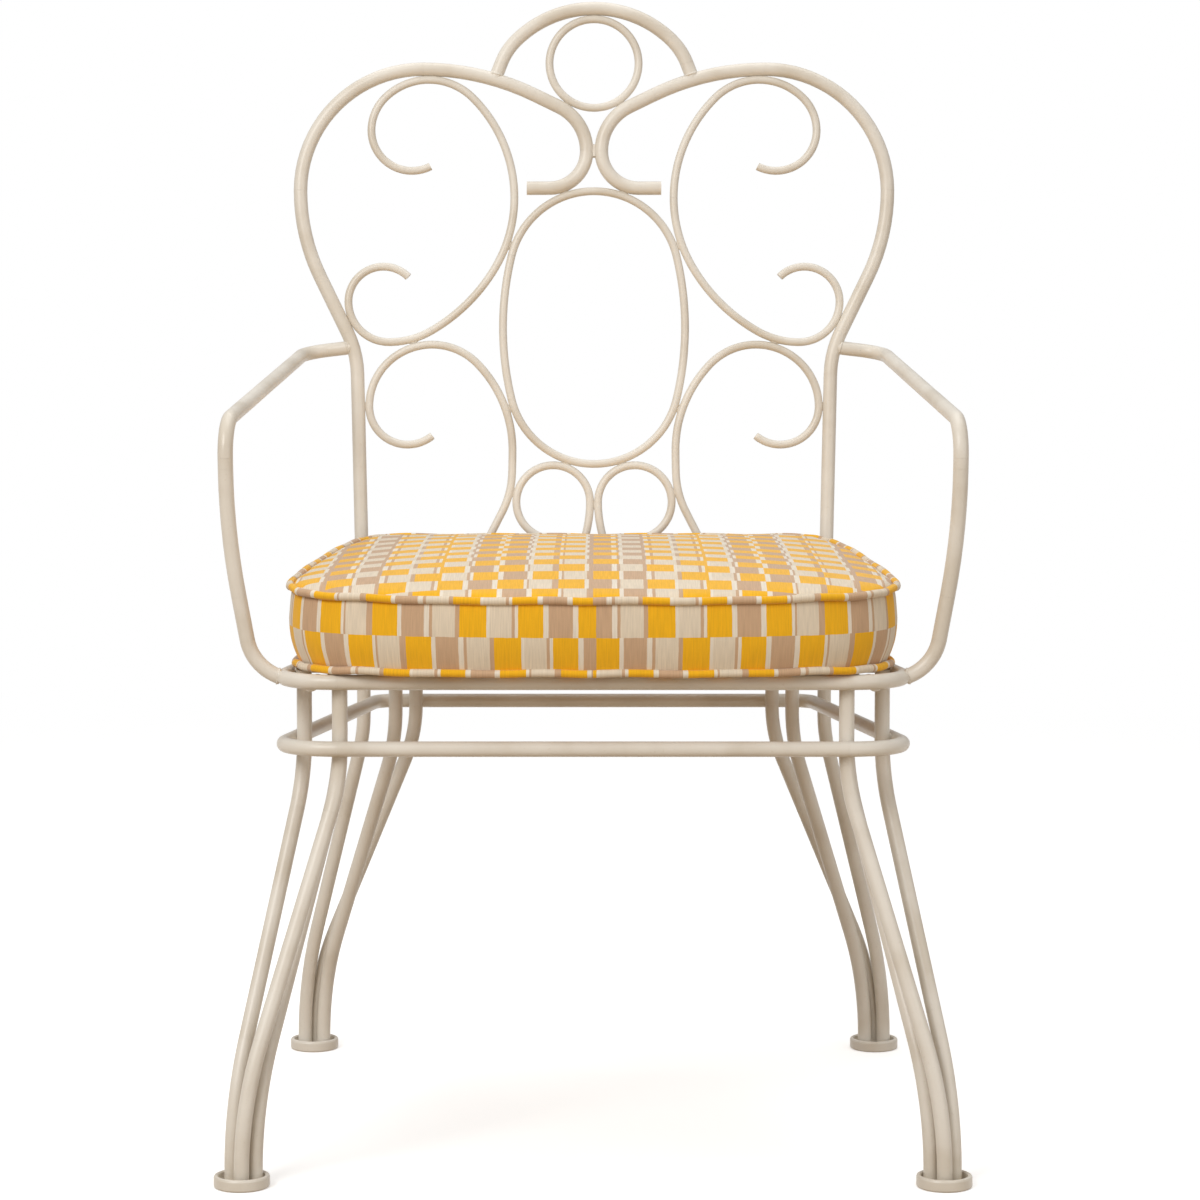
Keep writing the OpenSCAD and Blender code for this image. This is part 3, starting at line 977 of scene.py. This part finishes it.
@dataclass
class BoxCushion:
    """The loose seat cushion: a stuffed body, two pipings and its cloth."""

    cloth: bpy.types.Material
    front: float = -0.227
    back: float = 0.189
    half_width: float = 0.242
    base: float = 0.3873
    band: float = 0.056
    rise: float = 0.021
    crown: float = 0.0245
    seam: float = 0.0037
    piping_r: float = 0.0031
    piping_sides: int = 12
    # How far the lower seam is tucked in behind the upper one
    tuck: float = 0.004
    voxel: float = 0.005
    pressure: float = 4.0
    frames: int = 20
    # The furthest that the stuffing pushes the body out
    cap: float = 0.006
    # The body is held this near a seam's height and the plan's edge, and nearly held this near the base
    held_height: float = 0.006
    held_reach: float = 0.011
    held_base: float = 0.002
    base_hold: float = 0.9
    # The side band takes two rows of the check, and the top goes on from there
    two_rows: float = 0.0449
    # A face whose normal has more than this share of up or down is on top or below
    side_slope: float = 0.75
    # Where the pipings' strips start along the check, the row they are cut from, and their width
    upper_strip: float = 0.031
    lower_strip: float = 0.087
    strip_row: float = 0.009
    strip_width: float = 0.004
    # A piping's slight waver, and how fast its two waves turn from one point of the plan to the next
    waver: float = 0.0007
    short_wave: float = 0.55
    long_wave: float = 0.173
    long_wave_start: float = 1.1
    # A row drawn in by this would close in the middle
    reach: float = 0.225
    # From under the middle, round the side band and to the top
    rows: tuple[Row, ...] = (
        Row(0.120),
        Row(0.050),
        Row(0.012),
        Row(0.0108, 0.0010),
        Row(0.0088, 0.0037),
        Row(0.0074, 0.0085),
        Row(0.0032, 0.0, 0.35, 0.0, 0.3),
        Row(0.0018, 0.0, 0.6, 0.0, 0.55),
        Row(0.0036, -0.0012, 1.0, 0.0, 1.0),
        Row(0.0048, 0.0037, 1.0, 0.0, 1.0),
        Row(0.0066, 0.0057, 1.0, 0.04, 1.0),
        Row(0.009, 0.0037, 1.0, 0.19, 0.95),
        Row(0.020, 0.0037, 1.0, 0.31, 0.8),
        Row(0.042, 0.0037, 1.0, 0.47, 0.62),
        Row(0.080, 0.0037, 1.0, 0.68, 0.4),
        Row(0.130, 0.0037, 1.0, 0.87, 0.2),
        Row(0.180, 0.0037, 1.0, 0.97, 0.05),
        Row(0.2245, 0.0037, 1.0, 1.0, 0.0),
    )
    # Corner points of the plan's right half: share of the half width, and metres from the front or back edge
    front_points: tuple[tuple[float, float], ...] = (
        (0.0, 0.0),
        (0.3, 0.0025),
        (0.6, 0.012),
        (0.81, 0.027),
        (0.935, 0.051),
        (0.99, 0.082),
        (1.0, 0.115),
        (0.975, 0.190),
    )
    back_points: tuple[tuple[float, float], ...] = (
        (0.925, -0.118),
        (0.868, -0.050),
        (0.825, -0.020),
        (0.73, -0.003),
        (0.5, 0.0),
        (0.25, 0.0),
        (0.0, 0.0),
    )
    outline: list[Vector] = field(default_factory=list)
    lengths: list[float] = field(default_factory=list)

    def plan(self, steps: int = 8) -> list[Vector]:
        """Draws the cushion's plan as one smooth closed curve.

        Args:
            steps: points between two corner points.

        Returns:
            Points of the outline in order, counter-clockwise from the front middle.
        """
        half = [Vector((x * self.half_width, self.front + y)) for x, y in self.front_points]
        half += [Vector((x * self.half_width, self.back + y)) for x, y in self.back_points]
        loop = half + [Vector((-p.x, p.y)) for p in reversed(half[1:-1])]
        count = len(loop)
        points = []
        for i in range(count):
            a, b, c, d = (loop[(i + k - 1) % count] for k in range(4))
            for step in range(steps):
                t = step / steps
                straight = 2 * b + (c - a) * t
                bend = (2 * a - 5 * b + 4 * c - d) * t**2
                turn = (3 * b - a - 3 * c + d) * t**3
                points.append(0.5 * (straight + bend + turn))
        return points

    def height(self, y: float, band: Band) -> float:
        """Gives the height of a piping's middle.

        Args:
            y: how far back, in metres.
            band: which of the two pipings.

        Returns:
            The height in metres.
        """
        if band is Band.LOWER:
            return self.base + self.seam
        return self.base + self.seam + self.band + self.rise * (y - self.front) / (self.back - self.front)

    def measure(self) -> None:
        """Works out the outline and the length along it up to each of its points."""
        self.outline = self.plan()
        self.lengths = [0.0]
        for i, point in enumerate(self.outline):
            after = self.outline[(i + 1) % len(self.outline)]
            self.lengths.append(self.lengths[-1] + (after - point).length)

    def nearest(self, x: float, y: float) -> tuple[float, float]:
        """Finds the outline's point nearest to a spot.

        Args:
            x: across, in metres.
            y: front to back, in metres.

        Returns:
            The length along the outline and the distance from it.
        """
        spot = Vector((x, y))
        best = (math.inf, 0.0)
        for i, point in enumerate(self.outline):
            after = self.outline[(i + 1) % len(self.outline)]
            run = after - point
            t = max(0.0, min(1.0, (spot - point).dot(run) / run.length_squared))
            gap = (point + run * t - spot).length
            if gap < best[0]:
                best = (gap, self.lengths[i] + run.length * t)
        return best[1], best[0]

    def cut(self) -> bpy.types.Mesh:
        """Draws the plan up through the body's rows, before it is stuffed.

        Returns:
            The closed surface.
        """
        middle = Vector((0.0, (self.front + self.back) / 2))
        shape = bmesh.new()
        ring = bmesh.ops.create_circle(shape, segments=len(self.outline), radius=1.0)["verts"]
        for index, row in enumerate(self.rows):
            if index > 0:
                drawn_up = bmesh.ops.extrude_edge_only(shape, edges=edges_of(shape, ring))["geom"]
                ring = [part for part in drawn_up if isinstance(part, bmesh.types.BMVert)]
            for vertex, point in zip(ring, self.outline):
                spot = middle + (point - middle) * (1 - row.drawn / self.reach)
                back = (spot.y - self.front) / (self.back - self.front)
                z = self.base + row.height + row.band * self.band + row.crown * self.crown
                vertex.co = (spot.x, spot.y, z + row.rise * self.rise * back)
        bmesh.ops.holes_fill(shape, edges=list(shape.edges))
        bmesh.ops.triangulate(shape, faces=[f for f in shape.faces if len(f.verts) > 4])
        bmesh.ops.recalc_face_normals(shape, faces=shape.faces)
        return mesh_of("cushion_body", shape)

    def stuffed(self) -> bpy.types.Object:
        """Swells the cushion's body by cloth simulation, with its two seams held.

        Returns:
            The body, with the simulation's result in its mesh.
        """
        body = placed("cushion_body", self.cut())
        self.remesh(body)
        self.swell(body)
        return body

    def remesh(self, body: bpy.types.Object) -> None:
        """Gives the body an even mesh.

        Args:
            body: the cushion's body.
        """
        modifier = body.modifiers.new("even_mesh", "REMESH")
        modifier.mode = "VOXEL"
        modifier.voxel_size = self.voxel
        modifier.use_smooth_shade = True
        self.apply(body)

    def apply(self, body: bpy.types.Object) -> None:
        """Puts the result of a piece's modifiers into its mesh.

        Args:
            body: the piece.
        """
        graph = bpy.context.evaluated_depsgraph_get()
        made = bpy.data.meshes.new_from_object(body.evaluated_get(graph))
        old = body.data
        body.modifiers.clear()
        body.data = made
        bpy.data.meshes.remove(old)

    def hold(self, body: bpy.types.Object) -> str:
        """Marks the points of the body that the stuffing doesn't move.

        Args:
            body: the cushion's body.

        Returns:
            The name of their vertex group.
        """
        held = body.vertex_groups.new(name="held")
        for vertex in body.data.vertices:
            x, y, z = vertex.co
            near = min(abs(z - self.height(y, band)) for band in Band)
            if near < self.held_height and self.nearest(x, y)[1] < self.held_reach:
                held.add([vertex.index], 1.0, "REPLACE")
            elif z < self.base + self.held_base:
                held.add([vertex.index], self.base_hold, "REPLACE")
        return held.name

    def swell(self, body: bpy.types.Object) -> None:
        """Runs the cloth simulation on the body.

        Args:
            body: the cushion's body.
        """
        before = [v.co.copy() for v in body.data.vertices]
        held = self.hold(body)
        cloth = body.modifiers.new("cloth", "CLOTH")
        cloth.settings.use_pressure = True
        cloth.settings.uniform_pressure_force = self.pressure
        cloth.settings.effector_weights.gravity = 0.0
        cloth.settings.vertex_group_mass = held
        cloth.settings.quality = 5
        cloth.point_cache.frame_start = 1
        cloth.point_cache.frame_end = self.frames
        scene = bpy.context.scene
        for frame in range(1, self.frames + 1):
            scene.frame_set(frame)
        graph = bpy.context.evaluated_depsgraph_get()
        after = body.evaluated_get(graph).to_mesh()
        moved = [v.co.copy() for v in after.vertices]
        body.evaluated_get(graph).to_mesh_clear()
        body.modifiers.clear()
        body.vertex_groups.clear()
        scene.frame_set(1)
        for vertex, old, new in zip(body.data.vertices, before, moved):
            step = new - old
            if step.length > self.cap:
                step *= self.cap / step.length
            vertex.co = old + step
        body.data.update()
        LOG.info("cushion swelled over %d points", len(before))

    def smooth(self, body: bpy.types.Object) -> None:
        """Evens out the remeshed surface.

        Args:
            body: the cushion's body.
        """
        even = body.modifiers.new("even_out", "SMOOTH")
        even.factor = 0.5
        even.iterations = 4
        self.apply(body)
        for polygon in body.data.polygons:
            polygon.use_smooth = True

    def lay_cloth(self, piece: bpy.types.Object) -> None:
        """Lays the cloth's UV map, in metres: along the outline on the sides, flat on top and below.

        Args:
            piece: the cushion's body.
        """
        mesh = piece.data
        layer = mesh.uv_layers.new(name="cloth")
        around = self.lengths[-1]
        for polygon in mesh.polygons:
            middle = polygon.center
            lower = self.height(middle.y, Band.LOWER)
            upper = self.height(middle.y, Band.UPPER)
            side = lower < middle.z < upper and abs(polygon.normal.z) < self.side_slope
            heart, _ = self.nearest(middle.x, middle.y) if side else (0.0, 0.0)
            for loop in polygon.loop_indices:
                x, y, z = mesh.vertices[mesh.loops[loop].vertex_index].co
                if side:
                    run, _ = self.nearest(x, y)
                    run -= around * round((run - heart) / around)
                    layer.data[loop].uv = (run, (z - lower) * self.two_rows / (upper - lower))
                else:
                    layer.data[loop].uv = (x, y - self.front + self.two_rows)

    def piping(self, band: Band) -> bpy.types.Object:
        """Sews one piping: a round cord in the cloth, with its own UV map along its length.

        Args:
            band: which edge it runs along.

        Returns:
            The piping.
        """
        is_upper = band is Band.UPPER
        inward = self.piping_r + (0.0 if is_upper else self.tuck)
        shape = bmesh.new()
        count = len(self.outline)
        rings: list[list[bmesh.types.BMVert]] = []
        for i, point in enumerate(self.outline):
            ahead = self.outline[(i + 1) % count] - self.outline[(i - 1) % count]
            ahead.normalize()
            out = Vector((ahead.y, -ahead.x, 0.0))
            waver = self.waver * math.sin(i * self.short_wave)
            waver *= math.sin(i * self.long_wave + self.long_wave_start)
            heart = Vector((point.x, point.y, self.height(point.y, band) + waver)) - out * inward
            turn = Matrix((out, Vector((0, 0, 1)), Vector((ahead.x, ahead.y, 0)))).transposed().to_4x4()
            made = bmesh.ops.create_circle(shape, segments=self.piping_sides, radius=self.piping_r)
            bmesh.ops.transform(shape, matrix=Matrix.Translation(heart) @ turn, verts=made["verts"])
            rings.append(made["verts"])
        bridge(shape, rings, closed=True)
        bmesh.ops.recalc_face_normals(shape, faces=shape.faces)
        layer = shape.loops.layers.uv.new("cloth")
        where = {vertex: (i, k) for i, ring in enumerate(rings) for k, vertex in enumerate(ring)}
        start = self.upper_strip if is_upper else self.lower_strip
        for face in shape.faces:
            spots = [where[v][0] for v in face.verts]
            wrap = min(spots) == 0 and max(spots) == count - 1
            for loop in face.loops:
                i, k = where[loop.vert]
                run = self.lengths[count] if wrap and i == 0 else self.lengths[i]
                loop[layer].uv = (run + start, self.strip_row + self.strip_width * k / self.piping_sides)
            face.smooth = True
        name = "piping_" + band.value
        return placed(name, mesh_of(name, shape))

    def build(self) -> list[bpy.types.Object]:
        """Makes the cushion's pieces and ties them to its body.

        Returns:
            The pieces.
        """
        self.measure()
        body = self.stuffed()
        self.smooth(body)
        self.lay_cloth(body)
        pieces = [body, self.piping(Band.LOWER), self.piping(Band.UPPER)]
        for piece in pieces:
            piece.data.materials.clear()
            piece.data.materials.append(self.cloth)
            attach(piece, "cushion")
            LOG.info("%s has %d faces", piece.name, len(piece.data.polygons))
        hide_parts("cushion")
        return pieces


def main() -> None:
    """Builds the studio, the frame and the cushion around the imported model."""
    logging.basicConfig(level=logging.INFO, format="%(name)s: %(message)s")
    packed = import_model()
    bpy.context.scene.view_settings.view_transform = "Standard"
    studio = Studio()
    studio.camera()
    studio.floor(PaleFloor().material())
    studio.light()
    frame = RodFrame(dict(packed["nodes"]), PowderCoat().material())
    frame.dress()
    frame.scrolls()
    frame.seat_bars()
    frame.beads()
    BoxCushion(CheckedCanvas().material()).build()


if __name__ == "__main__":
    main()
